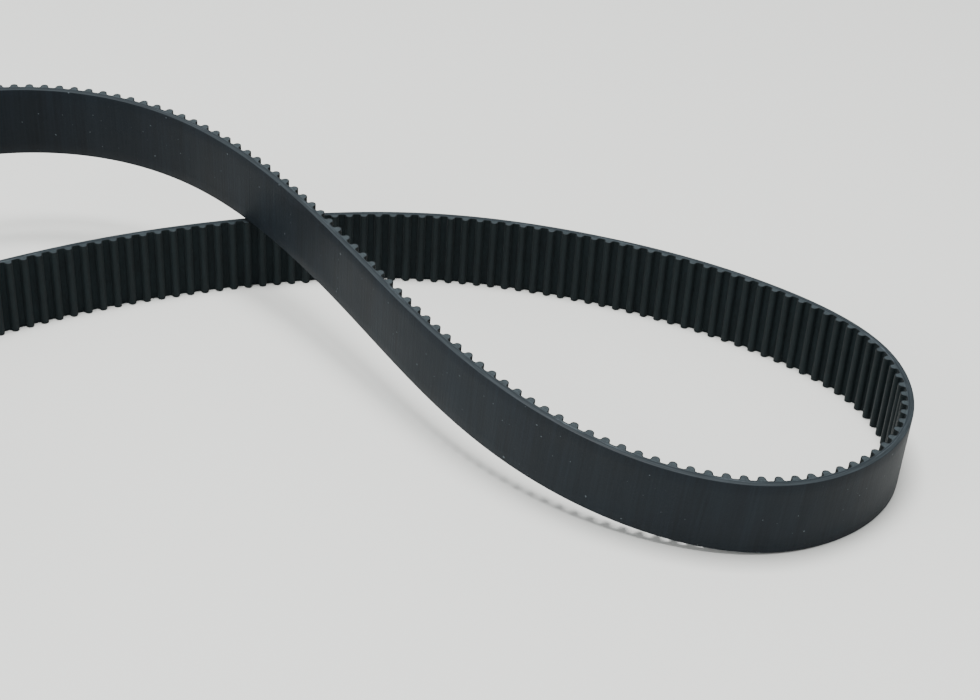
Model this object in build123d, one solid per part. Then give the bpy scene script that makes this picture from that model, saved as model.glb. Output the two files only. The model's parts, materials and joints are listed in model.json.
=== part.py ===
from build123d import *
import math
import os

"""An endless rubber timing belt standing on its edge, folded over itself twice.

The belt is a bonded laminate: a rubber backing, a layer of tension cords, moulded
rubber teeth and a nylon facing over the teeth. It bends everywhere, so it is built
as a chain of short stretches with a hinge line on the cords between one stretch and
the next. Each stretch is one section drawn in the plane of its own bend and extruded
over the belt's width. Millimetres, +Z up, the origin on the floor under the middle
of the belt's overall box.
"""

# Belt. Heights in the section are measured from the cords' centre line.
PITCH = 3.0  # tooth to tooth along the cords
TEETH = 268
WIDTH = 15.0
BACK = -0.90  # smooth outer face
CORD_RADIUS = 0.15
LAND = 0.38  # toothed face, between two teeth
FACING = 0.15  # thickness of the nylon over the teeth and lands
TIP_RADIUS = 0.75
ROOT_RADIUS = 0.37  # a tooth is a half-round tip on two quarter-round roots

# Hinges. Fewer teeth to a stretch where the belt bends most.
STRETCH_TEETH = [16, 16, 20, 20, 20, 20, 20, 12, 12, 14, 26, 28, 18, 14, 12]
HINGE_GAP = 0.5

# Route of the belt's middle line, with the teeth on its left: x, y, the height of the
# lower edge above the floor, and the lean away from the teeth in degrees.
ROUTE = [
    (-100.0, -81.5, 3.6, 1.0),
    (-73.0, -74.0, 6.2, 1.0),
    (-63.0, -48.0, 9.2, 1.0),
    (-70.5, -20.0, 12.5, 2.5),
    (-82.5, 9.0, 15.8, 4.0),
    (-87.0, 39.0, 18.1, 4.0),
    (-75.0, 67.0, 19.2, 5.0),
    (-55.5, 80.5, 19.2, 6.0),
    (-35.5, 82.0, 18.8, 7.0),
    (-18.5, 76.5, 17.7, 7.0),
    (2.5, 60.5, 14.7, 5.0),
    (25.5, 33.0, 9.9, 4.0),
    (49.5, 5.5, 5.2, 3.5),
    (71.5, -8.0, 2.1, 5.5),
    (97.5, -10.5, 0.2, 4.5),
    (118.5, 6.0, 0.0, 1.0),
    (120.0, 32.0, 0.0, 0.0),
    (102.0, 52.5, 0.0, 0.0),
    (69.5, 68.0, 0.0, 0.0),
    (34.5, 73.5, 0.0, 0.0),
    (-1.0, 67.0, 0.0, 0.0),
    (-33.5, 52.0, 0.0, 0.0),
    (-62.0, 30.5, 0.0, 0.0),
    (-88.5, 6.0, 0.0, 0.0),
    (-112.5, -22.0, 0.2, 3.0),
    (-122.0, -55.5, 1.4, 1.5),
]


def route_at(scale):
    """The closed route, its plan enlarged by scale about the origin."""
    return Spline(
        [(x * scale, y * scale, lift + WIDTH / 2) for x, y, lift, _ in ROUTE], periodic=True
    )


def fitted_route():
    """The route, with its plan adjusted so that it holds a whole number of teeth."""
    length = TEETH * PITCH
    first = route_at(1.0)
    return route_at(length / first.length)


def lean_at(fraction):
    """Lean in degrees at a fraction of the way round, between the route's points."""
    spans = [math.dist(ROUTE[i][:3], ROUTE[i - 1][:3]) for i in range(1, len(ROUTE))]
    spans.append(math.dist(ROUTE[0][:3], ROUTE[-1][:3]))
    left = (fraction % 1.0) * sum(spans)
    for i, span in enumerate(spans):
        if left <= span:
            following = ROUTE[(i + 1) % len(ROUTE)]
            return ROUTE[i][3] + (following[3] - ROUTE[i][3]) * left / span
        left -= span
    return ROUTE[0][3]


class Station:
    """A place on the belt: its point on the cords, and its along and across directions."""

    def __init__(self, route, teeth):
        fraction = (teeth / TEETH) % 1.0
        self.point = route.position_at(fraction)
        self.along = route.tangent_at(fraction).normalized()
        upright = (Vector(0, 0, 1) - self.along * self.along.Z).normalized()
        toothward = upright.cross(self.along)
        lean = math.radians(lean_at(fraction))
        self.across = (upright * math.cos(lean) - toothward * math.sin(lean)).normalized()


class Stretch:
    """One rigid stretch: its plane, and its cords' line as a chain of tooth cells."""

    def __init__(self, route, first, teeth):
        ends = [Station(route, first), Station(route, first + teeth)]
        chord = (ends[1].point - ends[0].point).normalized()
        middle = Station(route, first + teeth / 2)
        mean = ends[0].across + ends[1].across + middle.across * 2
        across = (mean - chord * mean.dot(chord)).normalized()
        self.plane = Plane(
            origin=(ends[0].point + ends[1].point) * 0.5, x_dir=chord, z_dir=across
        )
        middles = [Station(route, first + j + 0.5) for j in range(teeth)]
        self.headings = [self.heading(middle.along) for middle in middles]
        self.end_headings = [self.heading(end.along) for end in ends]
        points = [Vector(0, 0)]
        for heading in self.headings:
            step = Vector(math.cos(heading), math.sin(heading)) * PITCH
            points.append(points[-1] + step)
        centre = (points[0] + points[-1]) * 0.5
        self.points = [point - centre for point in points]
        # Half the hinge gap comes off each end cell.
        for end, inward, heading in ((0, 1, self.headings[0]), (-1, -1, self.headings[-1])):
            trim = Vector(math.cos(heading), math.sin(heading)) * (HINGE_GAP / 2 * inward)
            self.points[end] = self.points[end] + trim

    def heading(self, direction):
        """Direction of travel in the stretch's own plane, in radians from its chord."""
        return math.atan2(direction.dot(self.plane.y_dir), direction.dot(self.plane.x_dir))

    def line(self, height):
        """The corners of a face of the belt at a height above the cords."""
        corners = []
        for j, point in enumerate(self.points):
            if j == 0:
                before = after = self.end_headings[0]
            elif j == len(self.points) - 1:
                before = after = self.end_headings[1]
            else:
                before, after = self.headings[j - 1], self.headings[j]
            mean = (before + after) / 2
            reach = height / math.cos((after - before) / 2)
            corners.append(point + Vector(-math.sin(mean), math.cos(mean)) * reach)
        return corners

    def toothed_line(self, inset):
        """Edges along the toothed face, or along the same face moved in by inset."""
        root = ROOT_RADIUS + inset
        tip = TIP_RADIUS - inset
        corners = self.line(LAND - inset)
        edges = []
        for j, heading in enumerate(self.headings):
            along = Vector(math.cos(heading), math.sin(heading))
            out = Vector(-along.Y, along.X)
            middle = (self.cell_start(j) + self.cell_start(j + 1)) * 0.5 + out * LAND
            slant = root * math.sqrt(0.5)
            reach = TIP_RADIUS + ROOT_RADIUS

            def place(x, y):
                return middle + along * x + out * y

            edges.append(Edge.make_line(corners[j], place(-reach, -inset)))
            edges.append(
                Edge.make_three_point_arc(
                    place(-reach, -inset),
                    place(-reach + slant, ROOT_RADIUS - slant),
                    place(-tip, ROOT_RADIUS),
                )
            )
            edges.append(
                Edge.make_three_point_arc(
                    place(-tip, ROOT_RADIUS), place(0, ROOT_RADIUS + tip), place(tip, ROOT_RADIUS)
                )
            )
            edges.append(
                Edge.make_three_point_arc(
                    place(tip, ROOT_RADIUS),
                    place(reach - slant, ROOT_RADIUS - slant),
                    place(reach, -inset),
                )
            )
            edges.append(Edge.make_line(place(reach, -inset), corners[j + 1]))
        return edges

    def cell_start(self, j):
        """Start of tooth cell j on the cords' line, before the hinge gap is taken off."""
        inward = {0: 1, len(self.headings): -1}.get(j, 0)
        heading = self.headings[min(j, len(self.headings) - 1)]
        back = Vector(math.cos(heading), math.sin(heading)) * (HINGE_GAP / 2 * inward)
        return self.points[j] - back

    def plain_line(self, height):
        """Edges along a face with no teeth."""
        corners = self.line(height)
        return [Edge.make_line(a, b) for a, b in zip(corners, corners[1:])]

    def layer(self, lower, upper):
        """The solid between two lines of edges, over the belt's whole width."""
        ends = [
            Edge.make_line(lower[0] @ 0, upper[0] @ 0),
            Edge.make_line(lower[-1] @ 1, upper[-1] @ 1),
        ]
        face = Face(Wire(lower + upper + ends))
        solid = extrude(face, amount=WIDTH / 2, dir=(0, 0, 1), both=True)
        return self.plane.location * solid


def backing(stretch):
    """Smooth rubber backing, outside the cords."""
    return stretch.layer(stretch.plain_line(BACK), stretch.plain_line(-CORD_RADIUS))


def cord_layer(stretch):
    """Layer of glass cords, side by side across the belt."""
    return stretch.layer(stretch.plain_line(-CORD_RADIUS), stretch.plain_line(CORD_RADIUS))


def tooth_rubber(stretch):
    """Moulded rubber teeth, joined by the thin web that lies on the cords."""
    return stretch.layer(stretch.plain_line(CORD_RADIUS), stretch.toothed_line(FACING))


def tooth_facing(stretch):
    """Woven nylon facing over the teeth and the lands between them."""
    return stretch.layer(stretch.toothed_line(FACING), stretch.toothed_line(0.0))


LAYERS = {
    "backing": backing,
    "cord_layer": cord_layer,
    "tooth_rubber": tooth_rubber,
    "tooth_facing": tooth_facing,
}


def stretches():
    """Every stretch in order along the belt."""
    route = fitted_route()
    first = 0
    chain = []
    for teeth in STRETCH_TEETH:
        chain.append(Stretch(route, first, teeth))
        first += teeth
    return chain


def build():
    """All solids by node name, and the move that puts the origin under their middle."""
    parts = {}
    for number, stretch in enumerate(stretches(), start=1):
        for layer, make in LAYERS.items():
            parts[f"{layer}_{number:02d}"] = make(stretch)
    boxes = [solid.bounding_box() for solid in parts.values()]
    low = [min(getattr(box.min, axis) for box in boxes) for axis in "XYZ"]
    high = [max(getattr(box.max, axis) for box in boxes) for axis in "XYZ"]
    return parts, Vector(-(low[0] + high[0]) / 2, -(low[1] + high[1]) / 2, -low[2])


def main():
    """Write one STEP file for each node."""
    os.makedirs("parts", exist_ok=True)
    parts, move = build()
    for name, solid in parts.items():
        export_step(Pos(move) * solid, f"parts/{name}.step")
    print("nodes", len(parts), "moved by", move)


if __name__ == "__main__":
    main()
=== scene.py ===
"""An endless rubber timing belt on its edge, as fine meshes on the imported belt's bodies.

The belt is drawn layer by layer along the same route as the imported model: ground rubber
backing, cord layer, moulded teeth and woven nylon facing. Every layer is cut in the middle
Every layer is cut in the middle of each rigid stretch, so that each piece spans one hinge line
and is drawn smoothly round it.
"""

import json
import logging
import math
from dataclasses import dataclass
from enum import Enum

import bpy
import numpy as np
from mathutils import Matrix, Vector

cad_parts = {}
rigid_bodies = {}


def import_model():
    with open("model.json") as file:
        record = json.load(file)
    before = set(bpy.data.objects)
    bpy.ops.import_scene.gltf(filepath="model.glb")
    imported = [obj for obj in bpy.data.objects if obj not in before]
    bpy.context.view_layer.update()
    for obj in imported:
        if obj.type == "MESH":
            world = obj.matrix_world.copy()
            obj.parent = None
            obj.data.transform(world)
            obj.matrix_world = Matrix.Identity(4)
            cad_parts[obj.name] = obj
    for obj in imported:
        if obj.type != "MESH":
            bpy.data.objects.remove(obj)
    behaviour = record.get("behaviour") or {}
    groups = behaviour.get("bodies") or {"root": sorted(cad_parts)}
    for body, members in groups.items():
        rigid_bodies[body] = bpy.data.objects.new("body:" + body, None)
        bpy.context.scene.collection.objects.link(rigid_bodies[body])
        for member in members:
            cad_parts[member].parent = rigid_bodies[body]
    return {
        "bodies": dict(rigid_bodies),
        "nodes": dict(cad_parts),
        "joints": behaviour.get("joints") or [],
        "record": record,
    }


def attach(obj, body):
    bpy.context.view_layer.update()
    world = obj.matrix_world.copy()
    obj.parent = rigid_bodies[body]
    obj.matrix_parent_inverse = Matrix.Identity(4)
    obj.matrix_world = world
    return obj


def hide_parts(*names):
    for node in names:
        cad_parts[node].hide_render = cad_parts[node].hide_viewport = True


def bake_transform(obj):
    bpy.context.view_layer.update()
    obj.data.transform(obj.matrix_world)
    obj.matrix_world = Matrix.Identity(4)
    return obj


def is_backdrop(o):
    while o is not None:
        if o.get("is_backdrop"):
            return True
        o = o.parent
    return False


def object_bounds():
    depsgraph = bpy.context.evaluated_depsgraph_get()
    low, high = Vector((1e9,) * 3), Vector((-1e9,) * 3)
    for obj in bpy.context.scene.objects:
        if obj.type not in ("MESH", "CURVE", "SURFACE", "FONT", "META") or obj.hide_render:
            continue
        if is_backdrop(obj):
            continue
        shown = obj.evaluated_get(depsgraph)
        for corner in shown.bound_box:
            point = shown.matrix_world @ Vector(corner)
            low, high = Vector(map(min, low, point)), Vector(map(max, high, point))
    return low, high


logging.basicConfig(level=logging.INFO, format="%(message)s")
log = logging.getLogger("timing_belt")

MM = 0.001
BELT_COORDS = "belt_mm"  # mesh attribute: along, across and height in millimetres
LOOP_COORDS = "loop_mm"  # mesh attribute: along as places on a circle, and across, with no seam
SHARP_DEGREES = 32  # faces that meet at more than this are shaded as an edge

# Settings and sockets that the materials use again and again.
ADD = {"operation": "ADD"}
MULTIPLY = {"operation": "MULTIPLY"}
COLOURS = {"data_type": "RGBA"}
FIRST, SECOND = 6, 7  # the colour inputs of a mix node
MIXED = 2  # its colour output
Places = dict[str, bpy.types.NodeSocket]  # the belt's coordinates by name


def linear(hex_colour: str) -> tuple[float, float, float, float]:
    """Turn an sRGB hex colour into the linear colour that shaders take.

    Args:
        hex_colour: six hex digits after a hash.

    Returns:
        Linear red, green, blue and an alpha of 1.
    """
    parts = [int(hex_colour[i : i + 2], 16) / 255 for i in (1, 3, 5)]
    values = [c / 12.92 if c <= 0.04045 else ((c + 0.055) / 1.055) ** 2.4 for c in parts]
    return (*values, 1.0)


@dataclass(frozen=True)
class BeltSection:
    """The belt's section in millimetres, with heights from the cords' centre line."""

    pitch: float = 3.0
    teeth: int = 268
    width: float = 15.0
    back: float = -0.90
    cord_radius: float = 0.15
    land: float = 0.38
    facing: float = 0.15
    tip_radius: float = 0.75
    root_radius: float = 0.37
    corner: float = 0.12  # the backing's cut corners are barely rounded
    land_share: float = 0.87  # the land's own share of its half pitch, from the pitch's end
    root_steps: int = 6
    tip_steps: int = 7

    def tooth_outline(self, inset: float) -> list[tuple[float, float, bool]]:
        """Outline over one pitch of the toothed face, or of the rubber under the facing.

        Args:
            inset: how far below the face the line runs.

        Returns:
            Places along the pitch from its middle, heights above the cords, and whether
            the place belongs to the tooth, which keeps its shape when the belt bends.
        """
        root, tip = self.root_radius + inset, self.tip_radius - inset
        reach = self.tip_radius + self.root_radius
        floor, centre = self.land - inset, self.land + self.root_radius
        end = -self.pitch / 2
        half = [(end, floor, False), (end * self.land_share, floor, False)]
        for step in range(self.root_steps + 1):
            turn = math.radians(-90 + 90 * step / self.root_steps)
            half.append((-reach + root * math.cos(turn), centre + root * math.sin(turn), True))
        for step in range(1, self.tip_steps + 1):
            turn = math.radians(180 - 90 * step / self.tip_steps)
            half.append((tip * math.cos(turn), centre + tip * math.sin(turn), True))
        mirrored = [(-x, height, firm) for x, height, firm in reversed(half[1:-1])]
        return half + mirrored


@dataclass(frozen=True)
class BeltRoute:
    """The belt's middle line: a closed smooth curve through a few chosen points.

    Each point is x, y, the lower edge's height over the floor, all in millimetres, and
    the lean away from the teeth in degrees. The teeth are on the left of the way round.
    """

    section: BeltSection = BeltSection()
    points: tuple[tuple[float, float, float, float], ...] = (
        (-100.0, -81.5, 3.6, 1.0),
        (-73.0, -74.0, 6.2, 1.0),
        (-63.0, -48.0, 9.2, 1.0),
        (-70.5, -20.0, 12.5, 2.5),
        (-82.5, 9.0, 15.8, 4.0),
        (-87.0, 39.0, 18.1, 4.0),
        (-75.0, 67.0, 19.2, 5.0),
        (-55.5, 80.5, 19.2, 6.0),
        (-35.5, 82.0, 18.8, 7.0),
        (-18.5, 76.5, 17.7, 7.0),
        (2.5, 60.5, 14.7, 5.0),
        (25.5, 33.0, 9.9, 4.0),
        (49.5, 5.5, 5.2, 3.5),
        (71.5, -8.0, 2.1, 5.5),
        (97.5, -10.5, 0.2, 4.5),
        (118.5, 6.0, 0.0, 1.0),
        (120.0, 32.0, 0.0, 0.0),
        (102.0, 52.5, 0.0, 0.0),
        (69.5, 68.0, 0.0, 0.0),
        (34.5, 73.5, 0.0, 0.0),
        (-1.0, 67.0, 0.0, 0.0),
        (-33.5, 52.0, 0.0, 0.0),
        (-62.0, 30.5, 0.0, 0.0),
        (-88.5, 6.0, 0.0, 0.0),
        (-112.5, -22.0, 0.2, 3.0),
        (-122.0, -55.5, 1.4, 1.5),
    )


class BeltLine:
    """The route made into a curve that gives a frame at any number of teeth round."""

    SAMPLES = 12000
    TANGENT_REACH = 0.4  # millimetres each way over which the belt's direction is taken

    def __init__(self, route: BeltRoute) -> None:
        """Solve the curve, and widen its plan until it holds a whole number of teeth."""
        self.section = route.section
        points = np.array(route.points)
        points[:, 2] += self.section.width / 2
        target = self.section.teeth * self.section.pitch
        scale = target / self._sampled(points)[1][-1]
        points[:, :2] *= scale
        self.places, self.lengths = self._sampled(points)
        self.lengths *= target / self.lengths[-1]
        self.origin = np.zeros(3)

    def _sampled(self, points: np.ndarray) -> tuple[np.ndarray, np.ndarray]:
        """Sample the closed cubic spline through some points.

        Args:
            points: rows of x, y, z and lean.

        Returns:
            The sampled rows, and the length along the curve at each of them.
        """
        count = len(points)
        closed = np.vstack([points, points[:1]])
        spans = np.linalg.norm(np.diff(closed[:, :3], axis=0), axis=1)
        rises = np.diff(closed, axis=0) / spans[:, None]
        matrix = np.zeros((count, count))
        right = np.zeros((count, points.shape[1]))
        for i in range(count):
            before = spans[i - 1]
            matrix[i, i - 1] += before
            matrix[i, i] += 2 * (before + spans[i])
            matrix[i, (i + 1) % count] += spans[i]
            right[i] = 6 * (rises[i] - rises[i - 1])
        bends = np.linalg.solve(matrix, right)
        bends = np.vstack([bends, bends[:1]])
        knots = np.concatenate([[0.0], np.cumsum(spans)])
        where = np.linspace(0.0, knots[-1], self.SAMPLES + 1)
        i = np.clip(np.searchsorted(knots, where, side="right") - 1, 0, count - 1)
        span, left = spans[i][:, None], (where - knots[i])[:, None]
        rest = span - left
        curve = (bends[i] * rest**3 + bends[i + 1] * left**3) / (6 * span)
        curve += (closed[i] / span - bends[i] * span / 6) * rest
        curve += (closed[i + 1] / span - bends[i + 1] * span / 6) * left
        steps = np.linalg.norm(np.diff(curve[:, :3], axis=0), axis=1)
        return curve, np.concatenate([[0.0], np.cumsum(steps)])

    def frames(self, teeth: np.ndarray) -> tuple[np.ndarray, np.ndarray, np.ndarray, np.ndarray]:
        """Give the belt's frame at some places.

        Args:
            teeth: places as teeth round from the route's first point.

        Returns:
            Points on the cords in millimetres, and unit vectors along the belt, towards
            its teeth, and across it towards its upper edge.
        """
        total = self.section.teeth
        wanted = (np.asarray(teeth, float) % total) * self.section.pitch
        ends = []
        for shift in (-self.TANGENT_REACH, 0.0, self.TANGENT_REACH):
            at = (wanted + shift) % (total * self.section.pitch)
            ends.append(
                np.stack([np.interp(at, self.lengths, self.places[:, k]) for k in range(4)], axis=1)
            )
        along = ends[2][:, :3] - ends[0][:, :3]
        along /= np.linalg.norm(along, axis=1)[:, None]
        upright = np.array([0.0, 0.0, 1.0]) - along * along[:, 2:3]
        upright /= np.linalg.norm(upright, axis=1)[:, None]
        toothward = np.cross(upright, along)
        lean = np.radians(ends[1][:, 3])[:, None]
        across = upright * np.cos(lean) - toothward * np.sin(lean)
        toothward = np.cross(across, along)
        return ends[1][:, :3] + self.origin, along, toothward, across

    def meet(self, hinges: dict[float, Vector]) -> None:
        """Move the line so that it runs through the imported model's hinge lines.

        Args:
            hinges: each hinge's place in metres, by teeth round from the start.
        """
        stations = np.array(sorted(hinges))
        there = np.array([tuple(hinges[s]) for s in stations]) / MM
        here = self.frames(stations)[0]
        self.origin = (there - here).mean(axis=0)
        log.info("route meets the hinges within %.3f mm", np.abs(there - here - self.origin).max())


class Layer(Enum):
    """The belt's bonded layers, from its back to its teeth."""

    BACKING = "backing"
    CORD = "cord_layer"
    RUBBER = "tooth_rubber"
    FACING = "tooth_facing"


class Slot(Enum):
    """The record's material slot of each layer."""

    BACKING = "backing_rubber"
    CORD = "glass_cord"
    RUBBER = "tooth_rubber"
    FACING = "nylon_facing"


@dataclass
class LayerMesh:
    """Points and faces of one layer over some teeth, as rings joined along the belt."""

    line: BeltLine
    section: BeltSection = BeltSection()
    steps: int = 4  # rings per tooth where a layer has no teeth of its own
    seam: float = 0.02  # half the gap at the closing line, in millimetres
    margin: float = 2.5  # from each side to the ground face's first inner line
    pull: float = 0.03  # how far the knife leaves the cords short of the sides

    def plain_rings(self, start: int, end: int, outline: list[tuple[float, float]]) -> list[np.ndarray]:
        """Carry one outline along the belt.

        Args:
            start: first place, in teeth round.
            end: last place.
            outline: the ring's places across the belt and heights above the cords.

        Returns:
            World points and belt coordinates, each as rings by ring points by 3.
        """
        teeth = np.linspace(start, end, (end - start) * self.steps + 1)
        shape = np.array(outline)
        return self._place(teeth, np.zeros_like(teeth), shape[:, 0], np.tile(shape[:, 1], (len(teeth), 1)))

    def backing(self, start: int, end: int) -> list[np.ndarray]:
        """Give the rings of the ground backing, whose cut corners are broken a little."""
        half, back, top = self.section.width / 2, self.section.back, -self.section.cord_radius
        cut = self.section.corner
        bevel = cut * 0.3  # where the middle of a rounded corner lies
        side = [(half - cut, back), (half - bevel, back + bevel), (half, back + cut), (half, top)]
        outline = [(-across, height) for across, height in reversed(side)]
        outline += [(across, back) for across in np.linspace(-half + self.margin, half - self.margin, 5)]
        return self.plain_rings(start, end, outline + side)

    def cord_layer(self, start: int, end: int) -> list[np.ndarray]:
        """Give the rings of the cord layer, cut flush and pulled in by a hair at the knife."""
        half, radius = self.section.width / 2, self.section.cord_radius
        short, inner = half - self.pull, 0.4 * radius
        side = [(half, -radius), (short, -inner), (short, inner), (half, radius)]
        outline = [(-across, height) for across, height in reversed(side)]
        return self.plain_rings(start, end, outline + side)

    def tooth_rubber(self, start: int, end: int) -> list[np.ndarray]:
        """Give the rings of the moulded teeth, from the cords up to the facing."""
        return self._toothed(start, end, self.section.facing, None)

    def tooth_facing(self, start: int, end: int) -> list[np.ndarray]:
        """Give the rings of the facing, which lies on the moulded teeth."""
        return self._toothed(start, end, 0.0, self.section.facing)

    def _toothed(self, start: int, end: int, outer: float, inner: float | None) -> list[np.ndarray]:
        """Carry a toothed outline along the belt.

        Args:
            start: first place, in teeth round.
            end: last place.
            outer: how far below the toothed face the layer's outer side runs.
            inner: how far below it the inner side runs, or none for the cords' side.

        Returns:
            World points and belt coordinates, each as rings by ring points by 3.
        """
        half, count = self.section.width / 2, end - start
        across = np.array([-half, -half / 2, 0.0, half / 2, half])
        faces = []
        for inset in (outer, inner):
            rows = self.section.tooth_outline(outer if inset is None else inset)
            if inset is None:
                rows = [(x, self.section.cord_radius, False) for x, _, _ in rows]
            middles = np.repeat(np.arange(start, end) + 0.5, len(rows))
            shape = np.tile(np.array(rows, float), (count, 1))
            middles = np.append(middles, end - 0.5)
            shape = np.vstack([shape, [[self.section.pitch / 2, rows[0][1], 0.0]]])
            firm = shape[:, 2] > 0.5
            teeth = np.where(firm, middles, middles + shape[:, 0] / self.section.pitch)
            offset = np.where(firm, shape[:, 0], 0.0)
            heights = np.tile(shape[:, 1:2], (1, len(across)))
            faces.append(self._place(teeth, offset, across if inset is outer else across[::-1], heights))
        return [np.concatenate([faces[0][i], faces[1][i]], axis=1) for i in range(2)]

    def _place(
        self, teeth: np.ndarray, offset: np.ndarray, across: np.ndarray, heights: np.ndarray
    ) -> list[np.ndarray]:
        """Put ring points in the belt's frames.

        Args:
            teeth: where each ring's frame is, in teeth round.
            offset: how far along that frame each ring lies, in millimetres.
            across: each ring point's place across the belt.
            heights: each ring point's height above the cords, ring by ring.

        Returns:
            World points, and belt coordinates, each as rings by ring points by 3.
        """
        # The two ends at the closing line stand a hair apart, so that they never cut in.
        hair = self.seam / self.section.pitch
        teeth = np.clip(teeth, hair, self.section.teeth - hair)
        point, along, toothward, over = self.line.frames(teeth)
        world = (
            (point + along * offset[:, None])[:, None, :]
            + over[:, None, :] * across[None, :, None]
            + toothward[:, None, :] * heights[:, :, None]
        )
        belt = np.empty_like(world)
        belt[:, :, 0] = (teeth * self.section.pitch + offset)[:, None]
        belt[:, :, 1] = across[None, :]
        belt[:, :, 2] = heights
        return [world, belt]


def ring_object(name: str, world: np.ndarray, belt: np.ndarray, length: float) -> bpy.types.Object:
    """Make one closed mesh from rings, with its belt coordinates.

    Args:
        name: the object's name.
        world: ring points in millimetres, rings by points by 3.
        belt: their places along, across and above the cords.
        length: the whole belt's length in millimetres.

    Returns:
        The linked object, in metres.
    """
    rings, points = world.shape[:2]
    grid = np.arange(rings * points).reshape(rings, points)
    turned = np.roll(grid, -1, axis=1)
    quads = np.stack([grid[:-1], grid[1:], turned[1:], turned[:-1]], axis=-1).reshape(-1, 4)
    faces = quads.tolist() + [grid[0].tolist(), grid[-1][::-1].tolist()]
    mesh = bpy.data.meshes.new(name)
    mesh.from_pydata((world.reshape(-1, 3) * MM).tolist(), [], faces)
    flat = belt.reshape(-1, 3)
    turn = flat[:, 0] * math.tau / length
    radius = length / math.tau
    looped = np.stack([radius * np.cos(turn), radius * np.sin(turn), flat[:, 1]], axis=1)
    for attribute, values in ((BELT_COORDS, flat), (LOOP_COORDS, looped)):
        layer = mesh.attributes.new(attribute, "FLOAT_VECTOR", "POINT")
        layer.data.foreach_set("vector", values.astype(np.float32).ravel())
    mesh.shade_smooth()
    mesh.set_sharp_from_angle(angle=math.radians(SHARP_DEGREES))
    mesh.update()
    made = bpy.data.objects.new(name, mesh)
    bpy.context.scene.collection.objects.link(made)
    return made


@dataclass
class Span:
    """A length of belt from the middle of one rigid stretch to the middle of the next."""

    number: int
    start: int
    end: int
    bodies: tuple[str, ...]
    hinge: int | None = None  # teeth round to the hinge that it spans

    def hold(self, piece: bpy.types.Object, line: BeltLine, reach: float) -> None:
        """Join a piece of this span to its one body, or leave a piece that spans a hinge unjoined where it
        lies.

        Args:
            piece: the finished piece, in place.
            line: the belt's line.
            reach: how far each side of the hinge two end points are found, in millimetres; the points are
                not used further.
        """
        if self.hinge is None:
            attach(piece, self.bodies[0])
            return
        teeth = reach / line.section.pitch
        ends = line.frames(np.array([self.hinge - teeth, self.hinge + teeth]))[0] * MM
        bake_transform(piece)


@dataclass
class TimingBelt:
    """The endless belt: four bonded layers over rigid stretches that bend at hinges."""

    section: BeltSection = BeltSection()
    stretch_teeth: tuple[int, ...] = (16, 16, 20, 20, 20, 20, 20, 12, 12, 14, 26, 28, 18, 14, 12)
    bend_reach: float = 15.0  # millimetres each side of a hinge, passed to each span's hold

    def build(self, frame: dict, finishes: dict[Layer, bpy.types.Material]) -> None:
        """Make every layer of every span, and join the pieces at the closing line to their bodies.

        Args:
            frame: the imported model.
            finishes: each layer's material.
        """
        line = BeltLine(BeltRoute(self.section))
        line.meet(self._hinges(frame))
        meshes = LayerMesh(line, self.section)
        rings = {
            Layer.BACKING: meshes.backing,
            Layer.CORD: meshes.cord_layer,
            Layer.RUBBER: meshes.tooth_rubber,
            Layer.FACING: meshes.tooth_facing,
        }
        length = self.section.teeth * self.section.pitch
        for layer in Layer:
            for span in self._spans():
                name = f"{layer.value}_span_{span.number:02d}"
                world, belt = rings[layer](span.start, span.end)
                piece = ring_object(name, world, belt, length)
                piece.data.materials.append(finishes[layer])
                span.hold(piece, line, self.bend_reach)
                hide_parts(*(f"{layer.value}_{body[-2:]}" for body in span.bodies))
                log.info("%s: teeth %d to %d on %s", name, span.start, span.end, " and ".join(span.bodies))

    def _hinges(self, frame: dict) -> dict[float, Vector]:
        """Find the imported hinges: each is named for the stretches before and after it.

        Args:
            frame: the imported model.

        Returns:
            Each hinge's place in metres, by teeth round.
        """
        starts = np.cumsum((0, *self.stretch_teeth))
        return {
            float(starts[int(joint["name"][-2:]) - 1]): Vector(joint["pos_m"])
            for joint in frame["joints"]
        }

    def _spans(self) -> list[Span]:
        """Divide the belt at the middle of every stretch.

        Returns:
            The spans in order, with half a stretch alone at each side of the closing line.
        """
        starts = [int(s) for s in np.cumsum((0, *self.stretch_teeth))]
        middles = [(a + b) // 2 for a, b in zip(starts, starts[1:])]
        names = [f"stretch_{n:02d}" for n in range(1, len(middles) + 1)]
        spans = [Span(0, 0, middles[0], (names[0],))]
        for i in range(len(middles) - 1):
            spans.append(Span(i + 1, middles[i], middles[i + 1], (names[i], names[i + 1]), starts[i + 1]))
        spans.append(Span(len(middles), middles[-1], starts[-1], (names[-1],)))
        return spans


def add_node(
    tree: bpy.types.NodeTree, kind: str, settings: dict | None = None, links: dict | None = None
) -> bpy.types.Node:
    """Add a node with its settings and links.

    Args:
        tree: the material's node tree.
        kind: the node's type.
        settings: properties of the node by name.
        links: inputs by name or number. Each is a plain value, another node's output, or
            a node, which stands for its first output.

    Returns:
        The new node.
    """
    node = tree.nodes.new(kind)
    for name, value in (settings or {}).items():
        setattr(node, name, value)
    for name, value in (links or {}).items():
        if isinstance(value, bpy.types.Node):
            value = value.outputs[0]
        if isinstance(value, bpy.types.NodeSocket):
            tree.links.new(value, node.inputs[name])
        else:
            node.inputs[name].default_value = value
    return node


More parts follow.
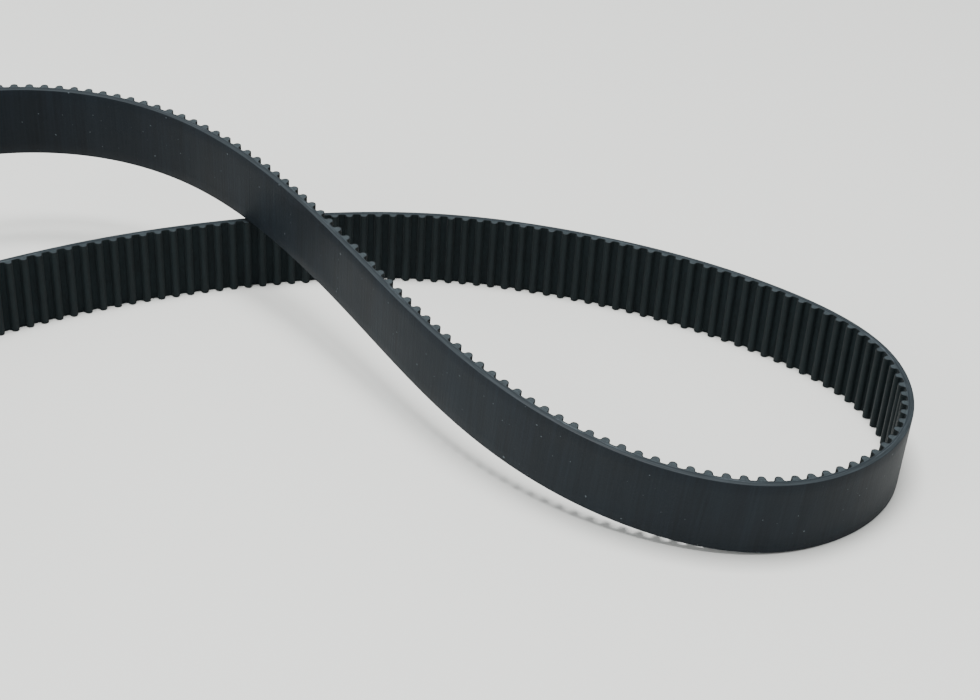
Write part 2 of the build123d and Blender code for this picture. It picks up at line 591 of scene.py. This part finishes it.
@dataclass(frozen=True)
class Grain:
    """One noise pattern at its real scale."""

    size: float  # one grain in millimetres
    along: float = 1.0  # how many times longer a grain is along the belt
    across: float = 1.0  # the same across the belt
    detail: float = 2.0  # octaves of finer grain

    def draw(self, tree: bpy.types.NodeTree, at: Places) -> bpy.types.Node:
        """Draw the pattern on the belt.

        Args:
            tree: the material's node tree.
            at: the belt's coordinates by name.

        Returns:
            The noise, from 0 to 1.
        """
        along, across = 1 / self.along, 1 / self.across
        placed = add_node(tree, "ShaderNodeVectorMath", MULTIPLY, {0: at["loop"], 1: (along, along, across)})
        return add_node(
            tree,
            "ShaderNodeTexNoise",
            {"noise_dimensions": "4D"},
            {"Vector": placed, "W": at["height"], "Scale": 1 / self.size, "Detail": self.detail},
        )


@dataclass(frozen=True)
class Finish:
    """What every finish of the belt is drawn from."""

    section: BeltSection = BeltSection()
    specular: float = 0.2  # dull rubber hardly mirrors anything

    def start(self, name: str) -> tuple[bpy.types.Material, bpy.types.NodeTree, Places]:
        """Open an empty material with the belt's coordinates.

        Args:
            name: the material's name.

        Returns:
            The material, its node tree, and the coordinates by name.
        """
        material = bpy.data.materials.new(name)
        material.use_nodes = True
        tree = material.node_tree
        tree.nodes.clear()
        belt = add_node(tree, "ShaderNodeAttribute", {"attribute_name": BELT_COORDS})
        loop = add_node(tree, "ShaderNodeAttribute", {"attribute_name": LOOP_COORDS})
        parts = add_node(tree, "ShaderNodeSeparateXYZ", {}, {0: belt.outputs["Vector"]})
        at = dict(zip(("along", "across", "height"), parts.outputs))
        at["loop"] = loop.outputs["Vector"]
        return material, tree, at

    def knife_cut(self, tree: bpy.types.NodeTree, at: Places) -> bpy.types.Node:
        """Mask the side faces that the slitting knife cut.

        Args:
            tree: the material's node tree.
            at: the belt's coordinates by name.

        Returns:
            1 on the cut faces and 0 elsewhere.
        """
        side = add_node(tree, "ShaderNodeMath", {"operation": "ABSOLUTE"}, {0: at["across"]})
        half = self.section.width / 2
        # The mask sets in just short of the side, within the cut corner.
        return add_node(tree, "ShaderNodeMapRange", {}, {0: side, 1: half - 0.03, 2: half - 0.01})


@dataclass(frozen=True)
class GroundRubberBack(Finish):
    """Backing rubber whose outer face is ground flat, and whose sides a knife has cut."""

    low: str = "#0c1217"
    high: str = "#171f26"
    dust: str = "#4b5358"
    cut_low: str = "#1a2023"
    cut_high: str = "#2c3337"
    roughness: float = 0.58
    wander: float = 0.06  # how far the roughness strays
    specular: float = 0.15
    # Grinding grit is 0.1 mm or so: its streaks show as fine lines across the width.
    streaks: Grain = Grain(0.5, across=26.0, detail=3.0)
    # The wheel chatters now and then, and leaves broader bands a few millimetres wide.
    chatter: Grain = Grain(4.5, across=9.0)
    # Handling leaves the rubber cloudy in patches of a centimetre or two.
    clouds: Grain = Grain(13.0, along=1.6, detail=4.0)
    # Specks of pale dust about a third of a millimetre across lie here and there.
    specks: Grain = Grain(0.55, detail=0.0)
    # The knife drags along the belt and leaves the side paler, with long scratches.
    drag: Grain = Grain(0.12, along=30.0)
    pores: Grain = Grain(0.22, across=2.5)
    pore_depth: float = 0.05  # millimetres
    streak_depth: float = 0.06  # millimetres

    def material(self) -> bpy.types.Material:
        """Build the finish: a dull slate black with grinding streaks straight across the belt."""
        material, tree, at = self.start("ground_chloroprene_back")
        streaks, clouds = self.streaks.draw(tree, at), self.clouds.draw(tree, at)
        tone = add_node(tree, "ShaderNodeMath", ADD, {0: streaks, 1: self.chatter.draw(tree, at)})
        tone = add_node(tree, "ShaderNodeMath", ADD, {0: tone, 1: clouds})
        # Three noises are added, so the middle of their range is near 1.5.
        tone = add_node(tree, "ShaderNodeMapRange", {}, {0: tone, 1: 1.05, 2: 1.95})
        ground = add_node(
            tree, "ShaderNodeMix", COLOURS, {0: tone, FIRST: linear(self.low), SECOND: linear(self.high)}
        )
        # Only the peaks of the noise show as specks.
        specks = add_node(
            tree, "ShaderNodeMapRange", {}, {0: self.specks.draw(tree, at), 1: 0.82, 2: 0.86}
        )
        ground = add_node(
            tree,
            "ShaderNodeMix",
            COLOURS,
            {0: specks, FIRST: ground.outputs[MIXED], SECOND: linear(self.dust)},
        )
        drag = add_node(tree, "ShaderNodeMapRange", {}, {0: self.drag.draw(tree, at), 1: 0.3, 2: 0.7})
        side = add_node(
            tree,
            "ShaderNodeMix",
            COLOURS,
            {0: drag, FIRST: linear(self.cut_low), SECOND: linear(self.cut_high)},
        )
        colour = add_node(
            tree,
            "ShaderNodeMix",
            COLOURS,
            {0: self.knife_cut(tree, at), FIRST: ground.outputs[MIXED], SECOND: side.outputs[MIXED]},
        )
        smooth, coarse = self.roughness - self.wander, self.roughness + self.wander
        rough = add_node(tree, "ShaderNodeMapRange", {}, {0: clouds, 1: 0.3, 2: 0.7, 3: smooth, 4: coarse})
        pores = add_node(
            tree,
            "ShaderNodeBump",
            {},
            {"Height": self.pores.draw(tree, at), "Distance": self.pore_depth * MM, "Strength": 0.6},
        )
        bumps = add_node(
            tree,
            "ShaderNodeBump",
            {},
            {"Height": streaks, "Distance": self.streak_depth * MM, "Strength": 0.5, "Normal": pores},
        )
        shader = add_node(
            tree,
            "ShaderNodeBsdfPrincipled",
            {},
            {
                "Base Color": colour.outputs[MIXED],
                "Roughness": rough,
                "Specular IOR Level": self.specular,
                "Normal": bumps,
            },
        )
        add_node(tree, "ShaderNodeOutputMaterial", {}, {"Surface": shader})
        return material


@dataclass(frozen=True)
class CutCord(Finish):
    """The layer of twisted glass cords, seen only where the knife has opened the sides."""

    rubber: str = "#192025"
    glass: str = "#4a5257"
    roughness: float = 0.7
    # The cords wind round at a slight angle, so the knife opens each for some millimetres.
    runs: Grain = Grain(0.35, along=22.0, detail=1.0)
    fibres: Grain = Grain(0.08, along=10.0)
    fibre_depth: float = 0.04  # millimetres

    def material(self) -> bpy.types.Material:
        """Build the finish: a thin dark line in the cut with short paler runs of glass fibre."""
        material, tree, at = self.start("cut_glass_cord")
        runs = add_node(tree, "ShaderNodeMapRange", {}, {0: self.runs.draw(tree, at), 1: 0.56, 2: 0.66})
        fibres = add_node(tree, "ShaderNodeMapRange", {}, {0: self.fibres.draw(tree, at), 1: 0.3, 2: 0.7})
        share = add_node(tree, "ShaderNodeMath", MULTIPLY, {0: runs, 1: fibres})
        colour = add_node(
            tree,
            "ShaderNodeMix",
            COLOURS,
            {0: share, FIRST: linear(self.rubber), SECOND: linear(self.glass)},
        )
        bumps = add_node(
            tree,
            "ShaderNodeBump",
            {},
            {"Height": fibres, "Distance": self.fibre_depth * MM, "Strength": 0.6},
        )
        shader = add_node(
            tree,
            "ShaderNodeBsdfPrincipled",
            {},
            {
                "Base Color": colour.outputs[MIXED],
                "Roughness": self.roughness,
                "Specular IOR Level": self.specular,
                "Normal": bumps,
            },
        )
        add_node(tree, "ShaderNodeOutputMaterial", {}, {"Surface": shader})
        return material


@dataclass(frozen=True)
class CutToothRubber(Finish):
    """The moulded teeth's rubber, seen only where the knife has cut them across."""

    low: str = "#1c2326"
    high: str = "#343d41"
    roughness: float = 0.62
    drag: Grain = Grain(0.14, along=20.0)
    pits: Grain = Grain(0.3, detail=3.0)
    mark_depth: float = 0.05  # millimetres

    def material(self) -> bpy.types.Material:
        """Build the finish: a matt dark grey with long knife marks and small torn pits."""
        material, tree, at = self.start("cut_tooth_chloroprene")
        marks = add_node(
            tree, "ShaderNodeMath", ADD, {0: self.drag.draw(tree, at), 1: self.pits.draw(tree, at)}
        )
        tone = add_node(tree, "ShaderNodeMapRange", {}, {0: marks, 1: 0.7, 2: 1.3})
        colour = add_node(
            tree, "ShaderNodeMix", COLOURS, {0: tone, FIRST: linear(self.low), SECOND: linear(self.high)}
        )
        bumps = add_node(
            tree,
            "ShaderNodeBump",
            {},
            {"Height": marks, "Distance": self.mark_depth * MM, "Strength": 0.5},
        )
        shader = add_node(
            tree,
            "ShaderNodeBsdfPrincipled",
            {},
            {
                "Base Color": colour.outputs[MIXED],
                "Roughness": self.roughness,
                "Specular IOR Level": self.specular,
                "Normal": bumps,
            },
        )
        add_node(tree, "ShaderNodeOutputMaterial", {}, {"Surface": shader})
        return material


@dataclass(frozen=True)
class WovenNylonFacing(Finish):
    """Stretch nylon cloth, dyed black and rubbed with latex, moulded onto the teeth."""

    deep: str = "#03080a"
    thread: str = "#142023"
    # Paler tip colour: partly rubbing wear, partly a painted highlight where the tips catch the light.
    rubbed_and_highlight: str = "#141e20"
    cut: str = "#0a0f11"
    thread_spacing: float = 0.375  # real threads are near 0.2 mm; drawn coarser to show
    roughness: float = 0.66
    rubbed_and_highlight_share: float = 0.25  # how far the tooth tips turn to the paler tip colour, which is rubbing wear and a painted highlight
    rubbed_and_highlight_depth: float = 0.30  # millimetres below the tips that the rubbing wear and the painted highlight reach
    specular: float = 0.14
    sheen: float = 0.03
    sheen_roughness: float = 0.4
    # Latex fills the cloth unevenly, so its depth wanders over a couple of millimetres.
    latex: Grain = Grain(1.4, across=3.0, detail=3.0)
    fluff: Grain = Grain(0.3, across=1.8)
    thread_depth: float = 0.06  # millimetres
    fluff_depth: float = 0.09  # millimetres

    def material(self) -> bpy.types.Material:
        """Build the finish: a deep green-black cloth, a little paler at the tooth tips, partly from rubbing
        and partly as a painted highlight.
        """
        material, tree, at = self.start("woven_nylon_facing")
        waves = []
        for place in ("along", "across"):
            turned = add_node(
                tree, "ShaderNodeMath", MULTIPLY, {0: at[place], 1: math.tau / self.thread_spacing}
            )
            waves.append(add_node(tree, "ShaderNodeMath", {"operation": "SINE"}, {0: turned}))
        weave = add_node(tree, "ShaderNodeMath", MULTIPLY, {0: waves[0], 1: waves[1]})
        weave = add_node(tree, "ShaderNodeMapRange", {}, {0: weave, 1: -1.0, 2: 1.0})
        fluff = self.fluff.draw(tree, at)
        tone = add_node(tree, "ShaderNodeMath", ADD, {0: weave, 1: self.latex.draw(tree, at)})
        tone = add_node(tree, "ShaderNodeMath", ADD, {0: tone, 1: fluff})
        tone = add_node(tree, "ShaderNodeMapRange", {}, {0: tone, 1: 0.9, 2: 2.1})
        cloth = add_node(
            tree, "ShaderNodeMix", COLOURS, {0: tone, FIRST: linear(self.deep), SECOND: linear(self.thread)}
        )
        # Tooth tips touch the pulley and the packing, so their cloth is rubbed smoother; their paler colour
        # is partly that wear and partly a painted highlight of tips that catch the light.
        top = self.section.land + self.section.root_radius + self.section.tip_radius
        tips = add_node(
            tree,
            "ShaderNodeMapRange",
            {},
            {0: at["height"], 1: top - self.rubbed_and_highlight_depth, 2: top, 4: self.rubbed_and_highlight_share},
        )
        # Mix in the paler tips, which are rubbing wear and a painted highlight.
        cloth = add_node(
            tree,
            "ShaderNodeMix",
            COLOURS,
            {0: tips, FIRST: cloth.outputs[MIXED], SECOND: linear(self.rubbed_and_highlight)},
        )
        colour = add_node(
            tree,
            "ShaderNodeMix",
            COLOURS,
            {0: self.knife_cut(tree, at), FIRST: cloth.outputs[MIXED], SECOND: linear(self.cut)},
        )
        dull, smooth = self.roughness + 0.06, self.roughness - 0.08
        rough = add_node(
            tree, "ShaderNodeMapRange", {}, {0: tips, 1: 0.0, 2: self.rubbed_and_highlight_share, 3: dull, 4: smooth}
        )
        threads = add_node(
            tree,
            "ShaderNodeBump",
            {},
            {"Height": weave, "Distance": self.thread_depth * MM, "Strength": 0.8},
        )
        bumps = add_node(
            tree,
            "ShaderNodeBump",
            {},
            {"Height": fluff, "Distance": self.fluff_depth * MM, "Strength": 0.7, "Normal": threads},
        )
        shader = add_node(
            tree,
            "ShaderNodeBsdfPrincipled",
            {},
            {
                "Base Color": colour.outputs[MIXED],
                "Roughness": rough,
                "Specular IOR Level": self.specular,
                "Sheen Weight": self.sheen,
                "Sheen Roughness": self.sheen_roughness,
                "Normal": bumps,
            },
        )
        add_node(tree, "ShaderNodeOutputMaterial", {}, {"Surface": shader})
        return material


@dataclass
class Studio:
    """A pale table, a large soft light above it, a weak one beside it, and even light all round."""

    table_size: float = 6.0
    table_colour: str = "#d6d7d3"
    table_roughness: float = 0.6
    lamp_size: float = 0.5
    lamp_height: float = 1.1
    lamp_watts: float = 26.0
    fill: float = 0.50
    fill_colour: str = "#f4f7fa"
    window_place: tuple[float, float, float] = (-0.75, -0.55, 0.42)
    window_size: float = 0.55
    window_watts: float = 4.8

    def build(self, middle: Vector) -> None:
        """Set the table and the lights round the belt.

        Args:
            middle: the middle of the belt's box.
        """
        mesh = bpy.data.meshes.new("table_top")
        half = self.table_size / 2
        corners = [(-half, -half, 0.0), (half, -half, 0.0), (half, half, 0.0), (-half, half, 0.0)]
        mesh.from_pydata(corners, [], [(0, 1, 2, 3)])
        table = bpy.data.objects.new("table_top", mesh)
        table.data.materials.append(self._table_finish())
        bpy.context.scene.collection.objects.link(table)
        table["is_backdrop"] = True
        overhead = Vector((middle.x, middle.y, self.lamp_height))
        self._hang("overhead_softbox", overhead, middle, self.lamp_size, self.lamp_watts)
        beside = Vector(self.window_place)
        self._hang("side_softbox", beside, middle, self.window_size, self.window_watts)
        world = bpy.data.worlds.new("studio_fill")
        world.use_nodes = True
        background = world.node_tree.nodes["Background"]
        background.inputs["Color"].default_value = linear(self.fill_colour)
        background.inputs["Strength"].default_value = self.fill
        bpy.context.scene.world = world
        log.info("studio: table, overhead light, side light and fill")

    def _hang(self, name: str, place: Vector, middle: Vector, size: float, watts: float) -> None:
        """Hang a square softbox that faces the belt.

        Args:
            name: the light's name.
            place: where it hangs.
            middle: the place that it faces.
            size: its side in metres.
            watts: its power.
        """
        lamp = bpy.data.lights.new(name, "AREA")
        lamp.shape = "SQUARE"
        lamp.size = size
        lamp.energy = watts
        hung = bpy.data.objects.new(name, lamp)
        hung.location = place
        hung.rotation_euler = (middle - place).to_track_quat("-Z", "Y").to_euler()
        bpy.context.scene.collection.objects.link(hung)

    def _table_finish(self) -> bpy.types.Material:
        """Make the table's plain pale laminate.

        Returns:
            The material.
        """
        material = bpy.data.materials.new("pale_laminate")
        material.use_nodes = True
        shader = material.node_tree.nodes["Principled BSDF"]
        shader.inputs["Base Color"].default_value = linear(self.table_colour)
        shader.inputs["Roughness"].default_value = self.table_roughness
        return material


@dataclass
class StudioCamera:
    """The camera: it looks down at the right-hand loop, turned a little about its view."""

    target: tuple[float, float, float] = (47.69, 46.39, 0.15)
    distance: float = 332.985
    pitch: float = 32.321
    roll: float = 3.709
    focal_length: float = 62.1
    sensor: float = 36.0
    nearest: float = 0.01  # metres from which the camera sees

    def build(self) -> None:
        """Place the camera and make it the scene's own."""
        pitch, roll = math.radians(self.pitch), math.radians(self.roll)
        ahead = Vector((0.0, math.cos(pitch), -math.sin(pitch)))
        side, up = Vector((1.0, 0.0, 0.0)), Vector((0.0, math.sin(pitch), math.cos(pitch)))
        right = side * math.cos(roll) + up * math.sin(roll)
        top = up * math.cos(roll) - side * math.sin(roll)
        data = bpy.data.cameras.new("camera")
        data.lens = self.focal_length
        data.sensor_width = self.sensor
        data.clip_start = self.nearest
        camera = bpy.data.objects.new("camera", data)
        turn = Matrix((right, top, -ahead)).transposed().to_4x4()
        place = (Vector(self.target) - ahead * self.distance) * MM
        camera.matrix_world = Matrix.Translation(place) @ turn
        bpy.context.scene.collection.objects.link(camera)
        bpy.context.scene.camera = camera
        log.info("camera: %.0f mm away, %.1f degrees down", self.distance, self.pitch)


def main() -> None:
    """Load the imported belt, dress it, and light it."""
    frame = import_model()
    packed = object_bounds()
    finishes = {
        Layer.BACKING: GroundRubberBack().material(),
        Layer.CORD: CutCord().material(),
        Layer.RUBBER: CutToothRubber().material(),
        Layer.FACING: WovenNylonFacing().material(),
    }
    TimingBelt().build(frame, finishes)
    low, high = packed
    Studio().build((Vector(low) + Vector(high)) / 2)
    StudioCamera().build()
    bpy.context.view_layer.update()


if __name__ == "__main__":
    main()
